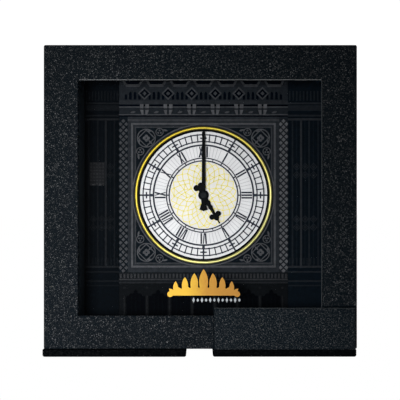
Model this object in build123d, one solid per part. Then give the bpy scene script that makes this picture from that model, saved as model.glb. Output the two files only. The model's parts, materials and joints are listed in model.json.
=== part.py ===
from build123d import *
import math
import os

# Framed clock-tower mantel clock. Millimetres, +Z up, front face towards -Y.
# The origin is on the floor, under the centre of the case.

# --- case -------------------------------------------------------------------
CASE_W = 180.0
CASE_TOP = 178.9
FOOT_H = 4.2
CASE_FRONT = -30.0
CASE_BACK = 30.0
BOARD = 3.0
FRAME_T = 2.5
CASE_ROUND = 1.0
FRAME_ROUND = 0.8
WINDOW_ROUND = 0.6
WINDOW_LEFT = -70.3
WINDOW_RIGHT = 70.1
WINDOW_BOTTOM = 23.3
WINDOW_TOP = 158.8
PANE_T = 1.0
GLUE_GAP = 0.2
BATTEN_BOTTOM = 17.0
BATTEN_TOP = 166.0
RIGHT_BATTEN_INNER = 77.0

# --- feet and flap ----------------------------------------------------------
FOOT_FRONT = -33.2
FOOT_BACK = 31.4
FOOT_LEFT = -90.2
FOOT_RIGHT = 89.2
NOTCH_LEFT = -8.1
NOTCH_RIGHT = 7.1
STRIP_T = 0.5
FLAP_LEFT = 7.9
FLAP_RIGHT = 88.8
FLAP_TOP = 27.9
FLAP_GAP = 0.2
FOOT_ROUND = 1.4
FLAP_ROUND = 0.7
HINGE_BOTTOM = 1.6
MAGNET_R = 4.0
MAGNET_T = 1.5
MAGNET_X = 76.0
MAGNET_Z = 19.0

# --- ornament printed on the pane -----------------------------------------------------------
PRINT_T = 0.3
CRESTING_X = 1.9
CRESTING_Z = 34.6
CRESTING_W = 42.0
CRESTING_H = 15.2
CRESTING_RAIL = 1.7
CRESTING_PITCH = 5.4
CRESTING_FALL = 2.3
SIDE_LEAF_W = 2.0
SIDE_LEAF_LEAN = 48
CAPTION_X = 9.3
CAPTION_Z = 32.0
CAPTION_COUNT = 12
CAPTION_PITCH = 2.4
CAPTION_LOZENGE_W = 1.5
CAPTION_HEIGHTS = (3.1, 2.1)

# --- depth planes of the display ----------------------------------------------
PANE_BACK = CASE_FRONT + FRAME_T + PANE_T
PANEL_FRONT = 6.0
PANEL_BACK = 8.0
DIAL_FRONT = 2.6
TRACERY_FRONT = 2.0
BEZEL_FRONT = 0.6
INNER_RING_FRONT = 1.4

# --- centre of the dial and the hands -----------------------------------------
DIAL_X = 1.9
DIAL_Z = 92.7

# --- dial radii -----------------------------------------------------------------
DIAL_R = 41.4
BEZEL_INNER_R = 39.75
BLACK_RING_R = 38.5
TRACK_OUTER_R = 36.5
TRACK_INNER_R = 32.4
CHAPTER_R = 30.2
NUMERAL_OUTER_R = 29.4
NUMERAL_INNER_R = 22.9
CHAPTER_INNER_R = 22.4
CENTRE_RING_R = 20.75
CENTRE_PANEL_R = 20.1
DIAL_HOLE_R = 3.15
NUT_POCKET_R = 7.2
DIAL_WEB = 1.1
BEZEL_ROUND = 0.7

# --- facade: depths of the relief, deepest first -------------------------------------------
RECESS = 5.4
WING_GROUND = 5.1
SPANDREL_GROUND = 5.0
PIER_GROUND = 4.9
WALL = 4.6
SURROUND = 4.5
LOW_RELIEF = 4.2
RELIEF = 3.8
MOULDING = 3.7
HIGH_RELIEF = 3.3
BRACKET_FRONT = 3.0

# --- facade: widths and heights about the dial's centre --------------------------------------
BLOCK_HALF_W = 51.1
PILASTER_W = 5.2
SQUARE_HALF = 43.2
BAY = 14.3
BAYS = 6
CORNICE_BOTTOM = 47.6
CORNICE_TOP = 57.4
SILL_TOP = -46.7
SILL_BOTTOM = -53.4
FACADE_TOP = 72.6
FACADE_BOTTOM = -74.8
WING_OUTER_RIGHT = 74.6
WING_OUTER_LEFT = 72.0
SLOT_FOOT = 58.0
LOZENGE_Z = 61.7
LOZENGE_SIDE = 5.7
GABLE_Z = 67.3
ARCADE_PITCH = 13.7
MULLION_W = 2.3

# --- wings: (middle, width, front) of each shaft, (low, high, front) of each course --------------
SHAFT_FOOT = -42.8
SHAFT_HEAD = 45.4
WING_SHAFTS = ((54.0, 0.9, 4.7), (56.5, 0.5, 4.9), (59.2, 1.2, 4.4), (61.6, 0.5, 4.9), (64.1, 0.9, 4.7),
               (66.7, 0.5, 4.9), (69.6, 0.9, 4.8))
WING_COURSES = ((45.4, 46.6, 4.4), (47.8, 48.8, 4.6), (51.2, 54.6, 4.7), (55.2, 56.2, 4.5),
                (-44.0, -42.8, 4.5), (-47.0, -46.0, 4.7), (-52.6, -51.6, 4.7), (-55.2, -54.4, 4.8))
WING_BAND_Z = (14.8, -17.0)
WING_BAND_X = (56.6, 61.7, 66.8)
WING_SLOTS = 11

# --- movement ---------------------------------------------------------------------
MOVEMENT = 56.0
MOVEMENT_FRONT = 9.0
MOVEMENT_REAR = 24.5
MOVEMENT_WALL = 1.5
MOVEMENT_COVER_T = 1.5
BUSH_R = 4.0
MOUNTING_NUT_R = 6.4
MOUNTING_NUT_T = 2.0
WASHER_R = 8.0
BUSH_FRONT = 3.8
HOUR_TUBE_R = 3.0
MINUTE_ARBOR_R = 2.0
RUN_GAP = 0.05
ARBOR_DISTANCE = 10.0
PINION_TEETH = 12
MINUTE_WHEEL_TEETH = 36
MINUTE_PINION_TEETH = 10
HOUR_WHEEL_TEETH = 40
TOOTH_THICKNESS = 0.86
ADDENDUM = 0.95
DEDENDUM = 1.3
CENTRE_MODULE = 2 * ARBOR_DISTANCE / (PINION_TEETH + MINUTE_WHEEL_TEETH)
HOUR_MODULE = 2 * ARBOR_DISTANCE / (MINUTE_PINION_TEETH + HOUR_WHEEL_TEETH)
SETTING_ARBOR_R = 1.5
TUBE_END = 12.4
PIVOT_START = 23.4
CENTRE_PINION_BACK = 17.4
KNOB_R = 5.0
KNOB_T = 3.0
KNOB_FLUTES = 24
KNOB_FRONT = MOVEMENT_REAR + MOVEMENT_COVER_T + 0.4
KNOB_SEAT = 2.0
CORNER_R = 2.0
CASE_FLOOR_T = 1.2
PIVOT_R = 0.6
BATTERY_R = 7.15
BATTERY_L = 49.0
BATTERY_X = -24.7
BATTERY_Y = 17.65
BATTERY_Z = DIAL_Z - 18.85
BAY_TOP = DIAL_Z - 11.2
BAY_BOTTOM = DIAL_Z - 26.5
BAY_HALF_W = 26.5
BAY_WALL = 1.2
CONTACT_FRONT = 11.0
CONTACT_BACK = 24.0

# --- hands --------------------------------------------------------------------------
HOUR_HAND_BACK = 1.6
HOUR_HAND_FRONT = 0.8
MINUTE_HAND_BACK = 0.2
MINUTE_HAND_FRONT = -0.6
HUB_R = 3.2
MINUTE_HUB_R = 2.7
HAND_NUT_R = 2.3
HAND_NUT_T = 1.1
HAND_NUT_ROUND = 0.6
MINUTE_REACH = 38.2
HOUR_REACH = 19.7
MINUTE_SEAT_R = 1.5
HOUR_SEAT_R = 2.6
ARBOR_TIP_R = 0.98
ARBOR_TIP_L = 0.5
SEAT_SNUG = 0.02
HOUR_ANGLE = 150

# --- back -----------------------------------------------------------------------------
BACK_T = 3.0
BACK_OPENING = 64.0
POST = 10.0
SCREW_HEAD_R = 3.0
SCREW_HEAD_T = 1.6
SCREW_SHANK_R = 1.4
SCREW_L = 9.0
SLOT_HALF_L = 2.0
SLOT_HALF_W = 0.35
SLOT_DEPTH = 0.8


# --- small builders ---------------------------------------------------------------------
def block(x0, x1, y0, y1, z0, z1):
    """A box between two corners."""
    middle = Pos((x0 + x1) / 2, (y0 + y1) / 2, (z0 + z1) / 2)
    return middle * Box(x1 - x0, y1 - y0, z1 - z0)


def rod(x, z, radius, y0, y1):
    """A cylinder along Y."""
    return Pos(x, (y0 + y1) / 2, z) * Rot(90, 0, 0) * Cylinder(radius, y1 - y0)


def tube(x, z, outer, inner, y0, y1):
    """A ring along Y."""
    return rod(x, z, outer, y0, y1) - rod(x, z, inner, y0 - 1, y1 + 1)


def raised(sketch, y_back, y_front):
    """A flat outline drawn in X and Z, given thickness from y_back forward to y_front."""
    return extrude(Plane.XZ.offset(-y_back) * sketch, amount=y_back - y_front, dir=(0, -1, 0))


def bar(x0, x1, z0, z1):
    """A flat rectangle between two corners, for raised()."""
    return Pos((x0 + x1) / 2, (z0 + z1) / 2) * Rectangle(abs(x1 - x0), abs(z1 - z0))


def outline(*corners):
    """A flat shape through its corners, always listed anticlockwise so that shapes fuse."""
    area = 0.0
    for (x0, z0), (x1, z1) in zip(corners, corners[1:] + corners[:1]):
        area += x0 * z1 - x1 * z0
    ordered = corners if area > 0 else tuple(reversed(corners))
    return Polygon(*ordered, align=None)


def ring(radius, width):
    """A flat ring whose line of the given width is centred on radius."""
    return Circle(radius + width / 2) - Circle(radius - width / 2)


def turned(shape, clock_degrees):
    """A flat shape turned clockwise about the dial's centre."""
    return Rot(0, 0, -clock_degrees) * shape


def at_dial(sketch):
    """A flat shape drawn about the dial's centre, moved to its place in the case."""
    return Pos(DIAL_X, DIAL_Z) * sketch


def save(node, shape):
    """Write one sub-part under its node name."""
    export_step(shape, "parts/" + node + ".step")


# --- case boards ------------------------------------------------------------------------
def foot_board(x0, x1, front):
    """A plinth board with its lower edges rounded."""
    foot = block(x0, x1, front, FOOT_BACK, 0, FOOT_H)
    return fillet(foot.faces().sort_by(Axis.Z)[0].edges(), FOOT_ROUND)


def wall_boards():
    """The four mitred walls of the case tube."""
    height = CASE_TOP - FOOT_H
    middle = (CASE_TOP + FOOT_H) / 2
    section = RectangleRounded(CASE_W, height, CASE_ROUND)
    section -= Rectangle(CASE_W - 2 * BOARD, height - 2 * BOARD)
    shell = raised(Pos(0, middle) * section, CASE_BACK, CASE_FRONT + FRAME_T)
    half_w = CASE_W / 2 + 1
    half_h = height / 2 + 1
    reach = min(half_w, half_h)
    side_tip = half_w - reach
    inner_h = half_h - reach
    sectors = {
        "top_wall": [(-half_w, half_h), (half_w, half_h), (side_tip, inner_h), (-side_tip, inner_h)],
        "bottom_wall": [(-half_w, -half_h), (half_w, -half_h), (side_tip, -inner_h), (-side_tip, -inner_h)],
        "left_wall": [(-half_w, half_h), (-side_tip, 0), (-half_w, -half_h)],
        "right_wall": [(half_w, half_h), (side_tip, 0), (half_w, -half_h)],
    }
    walls = {}
    for name, corners in sectors.items():
        wedge = raised(Pos(0, middle) * outline(*corners), CASE_BACK + 1, CASE_FRONT)
        walls[name] = shell & wedge
    return walls


def front_frame():
    height = CASE_TOP - FOOT_H
    face = Pos(0, (CASE_TOP + FOOT_H) / 2) * RectangleRounded(CASE_W, height, CASE_ROUND)
    board = raised(face, CASE_FRONT + FRAME_T, CASE_FRONT)
    board = fillet(board.faces().sort_by(Axis.Y)[0].edges(), FRAME_ROUND)
    through = (CASE_FRONT - 1, CASE_FRONT + FRAME_T + 1)
    board -= block(WINDOW_LEFT, WINDOW_RIGHT, *through, WINDOW_BOTTOM, WINDOW_TOP)
    front_edges = board.faces().sort_by(Axis.Y)[0].inner_wires()[0].edges()
    board = fillet(front_edges, WINDOW_ROUND)
    return board - rod(MAGNET_X, MAGNET_Z, MAGNET_R, CASE_FRONT - 1, CASE_FRONT + MAGNET_T)


def inner_sheet(y0, y1):
    """A sheet that fills the case tube from wall to wall."""
    side = CASE_W / 2 - BOARD - GLUE_GAP
    return block(-side, side, y0, y1, FOOT_H + BOARD + GLUE_GAP, CASE_TOP - BOARD - GLUE_GAP)


def window_pane():
    return inner_sheet(PANE_BACK - PANE_T, PANE_BACK)


def flap_board():
    board = block(FLAP_LEFT, FLAP_RIGHT, FOOT_FRONT, CASE_FRONT - FLAP_GAP, FOOT_H + FLAP_GAP, FLAP_TOP)
    board = fillet(board.faces().sort_by(Axis.Y)[0].edges().sort_by(Axis.Z)[1:], FLAP_ROUND)
    inner = CASE_FRONT - FLAP_GAP
    return board - rod(MAGNET_X, MAGNET_Z, MAGNET_R, inner - MAGNET_T, inner + 1)


def magnet(front):
    return rod(MAGNET_X, MAGNET_Z, MAGNET_R, front, front + MAGNET_T)


def flap_hinge():
    return block(FLAP_LEFT, FLAP_RIGHT, FOOT_FRONT, FOOT_FRONT + STRIP_T, HINGE_BOTTOM, FOOT_H)


def battens():
    """Four battens between the pane and the facade panel; the left one is flush with the window."""
    outer = CASE_W / 2 - BOARD
    low = FOOT_H + BOARD
    high = CASE_TOP - BOARD
    depth = (PANE_BACK, PANEL_FRONT)
    return {
        "left_batten": block(-outer, WINDOW_LEFT, *depth, BATTEN_BOTTOM, BATTEN_TOP),
        "right_batten": block(RIGHT_BATTEN_INNER, outer, *depth, BATTEN_BOTTOM, BATTEN_TOP),
        "top_batten": block(-outer, outer, *depth, BATTEN_TOP, high),
        "bottom_batten": block(-outer, outer, *depth, low, BATTEN_BOTTOM),
    }


# --- ornament on the pane ---------------------------------------------------------------
def leaf(length, width):
    """A pointed leaf along +X from the origin, where two arcs meet."""
    radius = (length * length / 4 + width * width / 4) / width
    upper = Pos(length / 2, radius - width / 2) * Circle(radius)
    lower = Pos(length / 2, width / 2 - radius) * Circle(radius)
    return upper & lower


def on_pane(sketch, x, z):
    """A thin print on the inside of the pane, drawn about its own centre."""
    return raised(Pos(x, z) * sketch, PANE_BACK + PRINT_T, PANE_BACK)


def pane_ornament():
    """A gilt cresting: pointed leaves of falling height along a rail with a ball at each end."""
    half = CRESTING_W / 2
    rail_middle = CRESTING_RAIL / 2
    leaf_foot = 0.6
    crest = Pos(0, rail_middle) * Rectangle(CRESTING_W - 2 * CRESTING_RAIL, CRESTING_RAIL)
    for index in range(-3, 4):
        height = CRESTING_H - CRESTING_FALL * abs(index)
        foot = Pos(index * CRESTING_PITCH, leaf_foot)
        crest += foot * Rot(0, 0, 90) * leaf(height - leaf_foot, 0.34 * height)
        for lean in (-SIDE_LEAF_LEAN, SIDE_LEAF_LEAN):
            crest += foot * Rot(0, 0, 90 + lean) * leaf(0.62 * height, SIDE_LEAF_W)
    for side in (-1, 1):
        crest += Pos(side * (half - CRESTING_RAIL), rail_middle) * Circle(CRESTING_RAIL)
    return on_pane(crest, CRESTING_X, CRESTING_Z)


def pane_caption_bar():
    """A row of small white lozenges of two sizes."""
    row = Sketch()
    half_w = CAPTION_LOZENGE_W / 2
    for index in range(CAPTION_COUNT):
        half_h = CAPTION_HEIGHTS[index % 2] / 2
        lozenge = outline((-half_w, 0), (0, -half_h), (half_w, 0), (0, half_h))
        row += Pos(bay_centre(index, CAPTION_COUNT, CAPTION_PITCH), 0) * lozenge
    return on_pane(row, CAPTION_X, CAPTION_Z)


# --- facade castings ----------------------------------------------------------------------
def facade_backplate():
    plate = inner_sheet(PANEL_FRONT, PANEL_BACK)
    return plate - rod(DIAL_X, DIAL_Z, BUSH_R + 0.1, PANEL_FRONT - 1, PANEL_BACK + 1)


def lancet(width, height):
    """A pointed window outline standing on the origin, its head struck from two arcs."""
    head_h = width * 0.9
    shaft = height - head_h
    head = (Pos(width / 2, shaft) * Circle(width)) & (Pos(-width / 2, shaft) * Circle(width))
    head = head & Pos(0, shaft + width / 2) * Rectangle(width, width)
    return head + Pos(0, shaft / 2) * Rectangle(width, shaft)


def diamond(x, z, side):
    """A square standing on its corner."""
    return Pos(x, z) * Rot(0, 0, 45) * Rectangle(side, side)


def quatrefoil(x, z, reach, lobe):
    """Four overlapping circles round a point."""
    flower = Sketch()
    for quarter in range(4):
        flower += Rot(0, 0, 90 * quarter) * Pos(reach, 0) * Circle(lobe)
    return Pos(x, z) * flower


def bay_centre(index, count, pitch):
    """Place of one bay in a row centred on the dial."""
    return (index - (count - 1) / 2) * pitch


def parapet():
    """A pierced parapet: pointed slots between framed lozenges, under a zigzag of gables."""
    frame_w = 1.7
    gable_half_w = 3.6
    gable_rise_half_w = 6.6
    cord_half_w = 4.0
    cord_low = GABLE_Z - 1.7
    cord_high = GABLE_Z - 1.2
    slot_sizes = ((1.4, 1.65, 4.9), (4.1, 1.5, 3.4))
    plate = bar(-BLOCK_HALF_W, BLOCK_HALF_W, CORNICE_TOP, FACADE_TOP)
    frames = Sketch()
    fields = Sketch()
    flowers = Sketch()
    for index in range(BAYS):
        x = bay_centre(index, BAYS, BAY)
        field = diamond(x, LOZENGE_Z, LOZENGE_SIDE - frame_w)
        fields += field
        frames += diamond(x, LOZENGE_Z, LOZENGE_SIDE) - field
        flowers += quatrefoil(x, LOZENGE_Z, 0.62, 0.52)
    slots = Sketch()
    sky = Sketch()
    cord = Sketch()
    for index in range(BAYS + 1):
        x = bay_centre(index, BAYS + 1, BAY)
        for side in (-1, 1):
            for away, width, height in slot_sizes:
                slots += Pos(x + side * away, SLOT_FOOT) * lancet(width, height)
        sky += outline((x - gable_half_w, GABLE_Z), (x + gable_half_w, GABLE_Z),
                       (x + gable_rise_half_w, FACADE_TOP), (x - gable_rise_half_w, FACADE_TOP))
        cord += bar(x - cord_half_w, x + cord_half_w, cord_low, cord_high)
    pierced = plate - (slots - frames - fields) - sky - fields
    body = raised(at_dial(plate), PANEL_FRONT, RECESS)
    body += raised(at_dial(pierced & plate), RECESS, WALL)
    body += raised(at_dial((frames + cord) & plate), WALL, LOW_RELIEF)
    return body + raised(at_dial(flowers), RECESS, LOW_RELIEF)


def cornice():
    """A crown course, paired brackets with tapering corbels, and a small leaf panel between pairs."""
    bracket_top = 55.1
    bracket_foot = 52.6
    corbel_top = 51.7
    corbel_foot = 48.6
    half_gap = 0.6
    bracket_w = 2.1
    corbel_taper = 1.1
    fillet_h = 0.6
    sprig_z = 49.9
    groove_h = 0.8
    slot_foot = bracket_foot + 1.3
    grooves = bar(-BLOCK_HALF_W, BLOCK_HALF_W, CORNICE_BOTTOM, CORNICE_BOTTOM + groove_h)
    grooves += bar(-BLOCK_HALF_W, BLOCK_HALF_W, slot_foot, bracket_top)
    front = bar(-BLOCK_HALF_W, BLOCK_HALF_W, CORNICE_BOTTOM, CORNICE_TOP)
    body = raised(at_dial(front), PANEL_FRONT, RECESS) + raised(at_dial(front - grooves), RECESS, WALL)
    body += raised(at_dial(bar(-BLOCK_HALF_W, BLOCK_HALF_W, bracket_top, CORNICE_TOP)), WALL, SURROUND - 0.1)
    for z in (bracket_foot + 0.5, corbel_foot - 0.1):
        body += raised(at_dial(bar(-BLOCK_HALF_W, BLOCK_HALF_W, z, z + fillet_h)), WALL, RELIEF)
    brackets = []
    for index in range(BAYS):
        x = bay_centre(index, BAYS, BAY)
        for side in (-1, 1):
            inner = x + side * half_gap
            outer = inner + side * bracket_w
            head = bar(inner, outer, bracket_foot, bracket_top)
            corbel_end = outer - side * corbel_taper
            corbel = outline((inner, corbel_top), (outer, corbel_top), (corbel_end, corbel_foot),
                             (inner, corbel_foot))
            brackets.append(raised(at_dial(head), RECESS, BRACKET_FRONT))
            brackets.append(raised(at_dial(corbel), WALL, HIGH_RELIEF))
    last_sprig = BLOCK_HALF_W - 4.0
    for index in range(BAYS + 1):
        x = bay_centre(index, BAYS + 1, BAY)
        x = max(-last_sprig, min(last_sprig, x))
        sprig = Pos(x - 1.5, sprig_z) * Rot(0, 0, 14) * leaf(3.2, 1.2)
        brackets.append(raised(at_dial(sprig), WALL, RELIEF))
    return body + brackets


def pilaster(side):
    """A slim pier with a chequer of raised diamonds: one column, and the halves of two more."""
    inner = BLOCK_HALF_W - PILASTER_W
    cell = 1.89
    column_step = 1.75
    diamond_side = 1.75
    face = bar(side * inner, side * BLOCK_HALF_W, SILL_TOP, CORNICE_BOTTOM)
    shaft = raised(at_dial(face), PANEL_FRONT, PIER_GROUND)
    middle = side * (inner + BLOCK_HALF_W) / 2
    diamonds = []
    rows = int((CORNICE_BOTTOM - SILL_TOP) / cell)
    for row in range(rows):
        z = SILL_TOP + (row + 0.5) * cell
        places = (middle,) if row % 2 == 0 else (middle - column_step, middle + column_step)
        for x in places:
            diamonds.append(raised(at_dial(diamond(x, z, diamond_side) & face), PIER_GROUND, RELIEF))
    return shaft + diamonds


def frame_line(half, width):
    """A flat square frame centred on the dial."""
    return Rectangle(2 * half, 2 * half) - Rectangle(2 * (half - width), 2 * (half - width))


def corner_field():
    """The outline of one sunk corner between the square moulding and the dial."""
    edge = SQUARE_HALF - 2.4
    return Pos(edge / 2, edge / 2) * Rectangle(edge, edge) - Circle(SQUARE_HALF + 0.1)


def dial_surround():
    """The square panel round the dial, with sunk corners, a double line moulding and a stone ring."""
    half_w = BLOCK_HALF_W - PILASTER_W
    thin_front = SURROUND - 0.3
    ring_w = 0.7
    ring_r = SQUARE_HALF - ring_w / 2
    body = bar(-half_w, half_w, SILL_TOP, CORNICE_BOTTOM) - Circle(DIAL_R + GLUE_GAP)
    sunk = Sketch()
    for quarter in range(4):
        sunk += turned(corner_field(), 90 * quarter)
    panel = raised(at_dial(body), PANEL_FRONT, RECESS) + raised(at_dial(body - sunk), RECESS, SURROUND)
    outer_line = frame_line(SQUARE_HALF + 0.6, 1.15)
    inner_line = frame_line(SQUARE_HALF - 1.7, 0.6) - Circle(SQUARE_HALF)
    step = bar(-half_w, half_w, SQUARE_HALF + 1.6, SQUARE_HALF + 3.0)
    panel += raised(at_dial(step + inner_line), SURROUND, thin_front)
    return panel + raised(at_dial(outer_line + ring(ring_r, ring_w)), SURROUND, MOULDING)


def roundel():
    """A ring with a flower inside a lozenge frame."""
    work = ring(5.4, 0.6)
    work += diamond(0, 0, 7.6) - diamond(0, 0, 6.5)
    return work + (quatrefoil(0, 0, 1.15, 1.0) - Circle(0.45))


def trefoil():
    """A small ring with three lobes inside it."""
    work = ring(2.2, 0.5)
    for third in range(3):
        work += Rot(0, 0, 90 + 120 * third) * Pos(0.95, 0) * Circle(0.55)
    return work


def spandrel(side_x, side_z):
    """Corner tracery: a flowered roundel in a lozenge frame, with a trefoil and leaves on each side."""
    roundel_place = 34.6
    near = 26.6
    far = 38.3
    leaf_places = ((39.0, 21.6, 78), (21.6, 39.0, 12), (31.0, 31.0, 45), (39.2, 31.2, 100), (31.2, 39.2, -10))
    corner = corner_field()
    work = Pos(roundel_place, roundel_place) * roundel()
    for x, z in ((far, near), (near, far)):
        work += Pos(x, z) * trefoil()
    for x, z, tilt in leaf_places:
        work += Pos(x, z) * Rot(0, 0, tilt) * leaf(3.4, 1.1)
    shape = raised(corner, RECESS, SPANDREL_GROUND) + raised(work & corner, SPANDREL_GROUND, RELIEF)
    if side_x < 0:
        shape = mirror(shape, Plane.YZ)
    if side_z < 0:
        shape = mirror(shape, Plane.XY)
    return Pos(DIAL_X, 0, DIAL_Z) * shape


def wing(side):
    """A receding side bay: engaged shafts, two bands of crossed quatrefoils and its own parapet."""
    inner = BLOCK_HALF_W + GLUE_GAP
    outer = WING_OUTER_RIGHT if side > 0 else WING_OUTER_LEFT
    body = raised(at_dial(bar(side * inner, side * outer, FACADE_BOTTOM, FACADE_TOP)), PANEL_FRONT, WING_GROUND)
    extras = []
    for x, width, front in WING_SHAFTS:
        shaft = bar(side * x - width / 2, side * x + width / 2, SHAFT_FOOT, SHAFT_HEAD)
        extras.append(raised(at_dial(shaft), WING_GROUND, front))
    for z0, z1, front in WING_COURSES:
        extras.append(raised(at_dial(bar(side * inner, side * outer, z0, z1)), WING_GROUND, front))
    cross_side = 3.3
    cross_line = 0.8
    for z in WING_BAND_Z:
        for x in WING_BAND_X:
            for step in (-2.5, 2.5):
                place = (side * x, z + step)
                cross = diamond(*place, cross_side) - diamond(*place, cross_side - cross_line)
                cross += quatrefoil(*place, 0.55, 0.45)
                extras.append(raised(at_dial(cross), WING_GROUND, WALL))
    pitch = (outer - inner) / WING_SLOTS
    half_slot = 0.4
    for index in range(WING_SLOTS):
        x = side * (inner + pitch * (index + 0.5))
        for z0, z1, front in ((57.4, 63.2, 4.7), (-42.2, -38.0, 4.8)):
            extras.append(raised(at_dial(bar(x - half_slot, x + half_slot, z0, z1)), WING_GROUND, front))
    return body + extras


def sill_band():
    """The moulded band under the dial, with a row of small uprights."""
    count = 48
    half_upright = 0.55
    upright_foot = SILL_TOP - 3.6
    upright_head = SILL_TOP - 0.9
    courses = ((SILL_TOP - 4.7, SILL_TOP - 4.0, RELIEF), (SILL_BOTTOM, SILL_BOTTOM + 0.8, LOW_RELIEF))
    body = raised(at_dial(bar(-BLOCK_HALF_W, BLOCK_HALF_W, SILL_BOTTOM, SILL_TOP)), PANEL_FRONT, WALL)
    for z0, z1, front in courses:
        body += raised(at_dial(bar(-BLOCK_HALF_W, BLOCK_HALF_W, z0, z1)), WALL, front)
    pitch = 2 * BLOCK_HALF_W / count
    uprights = []
    for index in range(count):
        x = bay_centre(index, count, pitch)
        upright = bar(x - half_upright, x + half_upright, upright_foot, upright_head)
        uprights.append(raised(at_dial(upright), WALL, RELIEF))
    return body + uprights


def lower_arcade():
    """Openings with cusped heads between slim mullions, below the sill."""
    count = 7
    springing = -61.0
    half_rib = 0.45
    half_bar = 0.3
    bar_step = 2.6
    cusp_step = 2.4
    screen_front = WALL + 0.1
    plate = bar(-BLOCK_HALF_W, BLOCK_HALF_W, FACADE_BOTTOM, SILL_BOTTOM)
    half_opening = (ARCADE_PITCH - MULLION_W) / 2
    openings = Sketch()
    for index in range(count):
        x = bay_centre(index, count, ARCADE_PITCH)
        openings += bar(x - half_opening, x + half_opening, FACADE_BOTTOM - 1, springing)
        openings += Pos(x, springing + 0.9) * Circle(1.7)
        openings += Pos(x - cusp_step, springing) * Circle(1.5)
        openings += Pos(x + cusp_step, springing) * Circle(1.5)
        openings += diamond(x, springing + 2.6, 1.9)
    body = raised(at_dial(plate), PANEL_FRONT, RECESS)
    body += raised(at_dial(plate - openings), RECESS, screen_front)
    ribs = []
    for index in range(count + 1):
        x = bay_centre(index, count + 1, ARCADE_PITCH)
        rib = bar(x - half_rib, x + half_rib, FACADE_BOTTOM, springing)
        ribs.append(raised(at_dial(rib), screen_front, LOW_RELIEF))
        ribs.append(raised(at_dial(diamond(x, springing + 4.9, 1.3)), screen_front, LOW_RELIEF))
    for index in range(count):
        x = bay_centre(index, count, ARCADE_PITCH)
        for step in (-bar_step, 0, bar_step):
            upright = bar(x + step - half_bar, x + step + half_bar, FACADE_BOTTOM, springing)
            ribs.append(raised(at_dial(upright), RECESS, WING_GROUND))
    return body + ribs


# --- dial ------------------------------------------------------------------------------------
def dial_plate():
    """The white dial, recessed behind for the nut that holds the movement."""
    disc = rod(DIAL_X, DIAL_Z, DIAL_R, DIAL_FRONT, PANEL_FRONT)
    disc -= rod(DIAL_X, DIAL_Z, NUT_POCKET_R, DIAL_FRONT + DIAL_WEB, PANEL_FRONT + 1)
    return disc - rod(DIAL_X, DIAL_Z, DIAL_HOLE_R, DIAL_FRONT - 1, PANEL_FRONT)


def centre_panel():
    return tube(DIAL_X, DIAL_Z, CENTRE_PANEL_R, DIAL_HOLE_R, DIAL_FRONT - PRINT_T, DIAL_FRONT)


def bezel_ring():
    body = tube(DIAL_X, DIAL_Z, DIAL_R, BEZEL_INNER_R, BEZEL_FRONT, DIAL_FRONT)
    front = body.faces().sort_by(Axis.Y)[0].edges()
    return fillet(front, BEZEL_ROUND)


def inner_ring():
    return tube(DIAL_X, DIAL_Z, BEZEL_INNER_R - 0.05, BLACK_RING_R, INNER_RING_FRONT, DIAL_FRONT)


def dial_tracery():
    """The dial's rings, minute bars, hour spokes and the stub beside each spoke, as pierced work."""
    rings = ((TRACK_OUTER_R, 0.72), (TRACK_INNER_R, 0.72), (CHAPTER_R, 1.0), (CHAPTER_INNER_R, 0.66),
             (CENTRE_RING_R, 0.75))
    track_middle = (TRACK_OUTER_R + TRACK_INNER_R) / 2
    half_stub = 2.0
    half_spoke = 0.5
    half_bar = 0.33
    bar_reach = 0.55
    knot_r = 0.5
    work = Sketch()
    for radius, width in rings:
        work += ring(radius, width)
    for minute in range(60):
        if minute % 5 == 0:
            spoke = bar(-half_spoke, half_spoke, CHAPTER_R, BLACK_RING_R - RUN_GAP)
            spoke += bar(-0.8, 0.8, CHAPTER_R, TRACK_INNER_R) + Pos(0, track_middle) * Circle(0.85)
            spoke += bar(-half_stub, half_stub, track_middle - 0.4, track_middle + 0.4)
            spoke += bar(-0.35, 0.35, CENTRE_RING_R, CHAPTER_INNER_R)
            work += turned(spoke, minute * 6)
        else:
            minute_bar = bar(-half_bar, half_bar, TRACK_INNER_R - bar_reach, TRACK_OUTER_R + bar_reach)
            minute_bar += Pos(0, TRACK_INNER_R) * Circle(knot_r) + Pos(0, TRACK_OUTER_R) * Circle(knot_r)
            work += turned(minute_bar, minute * 6)
    for hour in range(12):
        work += turned(bar(-0.2, 0.2, CENTRE_RING_R, CHAPTER_INNER_R), hour * 30 + 15)
    return raised(at_dial(work), DIAL_FRONT, TRACERY_FRONT)


def stroke(x_inner, x_outer, width):
    """One numeral stroke across the chapter, leaning from x_inner to x_outer."""
    half = width / 2
    corners = ((x_inner - half, NUMERAL_INNER_R), (x_inner + half, NUMERAL_INNER_R),
               (x_outer + half, NUMERAL_OUTER_R), (x_outer - half, NUMERAL_OUTER_R))
    return outline(*corners)


def numeral(text):
    """A Roman numeral whose top points outward, centred on twelve o'clock."""
    thick = 0.95
    thin = 0.6
    widths = {"I": 1.6, "V": 2.7, "X": 2.8}
    vee_foot = 0.35
    vee_head = 0.9
    cross = 0.85
    total = sum(widths[letter] for letter in text)
    x = -total / 2
    strokes = []
    for letter in text:
        middle = x + widths[letter] / 2
        if letter == "I":
            strokes.append(stroke(middle, middle, thick))
        elif letter == "V":
            strokes.append(stroke(middle - vee_foot, middle - vee_head, thick))
            strokes.append(stroke(middle + vee_foot, middle + vee_head, thin))
        else:
            strokes.append(stroke(middle - cross, middle + cross, thick))
            strokes.append(stroke(middle + cross, middle - cross, thin))
        x += widths[letter]
    return Sketch() + strokes


def dial_numerals():
    names = ["XII", "I", "II", "III", "IV", "V", "VI", "VII", "VIII", "IX", "X", "XI"]
    work = Sketch()
    for hour, name in enumerate(names):
        work += turned(numeral(name), hour * 30)
    return raised(at_dial(work), DIAL_FRONT, TRACERY_FRONT)


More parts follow.
